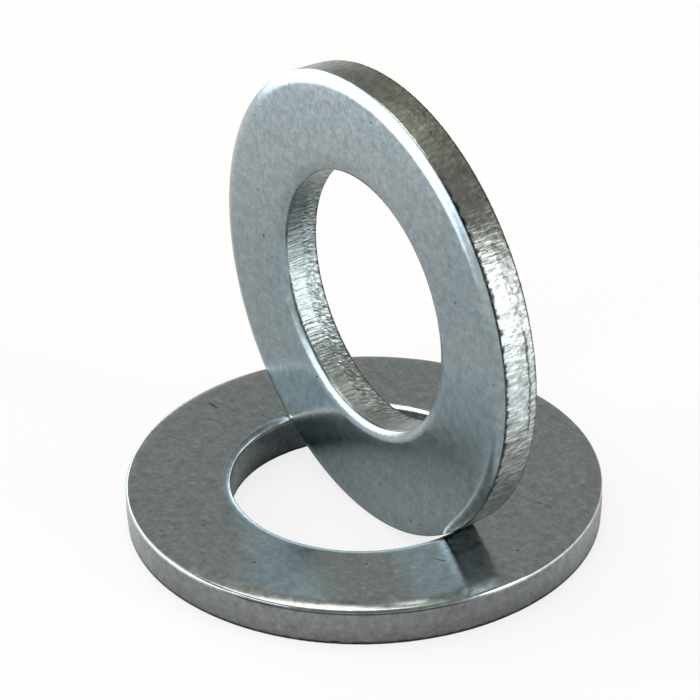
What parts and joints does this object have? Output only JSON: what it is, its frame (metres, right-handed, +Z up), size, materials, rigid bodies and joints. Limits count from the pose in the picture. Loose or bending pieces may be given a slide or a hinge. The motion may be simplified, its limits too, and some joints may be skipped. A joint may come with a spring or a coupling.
{
  "type": "pair of flat washers",
  "caption": "Pair of stamped zinc-plated flat washers: one lies flat and its twin stands on edge in the bore of the first.",
  "frame": {"origin": "on the lying washer's axis, in the plane of its underside, which is the surface that the pair stands on", "axes": "+Z up along the lying washer's axis; the standing washer's axis runs along Y and its rolled face looks towards -Y; X runs along the standing washer's lower edge"},
  "size_m": [0.034, 0.034, 0.034],
  "materials": {
    "zinc_plated_steel": "Bright zinc plate on stamped steel: satin blue-grey faces, polished rolled edges, and walls that are smooth and streaked next to the rolled face and torn and rough towards the far face."
  },
  "bodies": {
    "root": {"lying_washer": "zinc_plated_steel", "standing_washer": "zinc_plated_steel"}
  },
  "joints": []
}
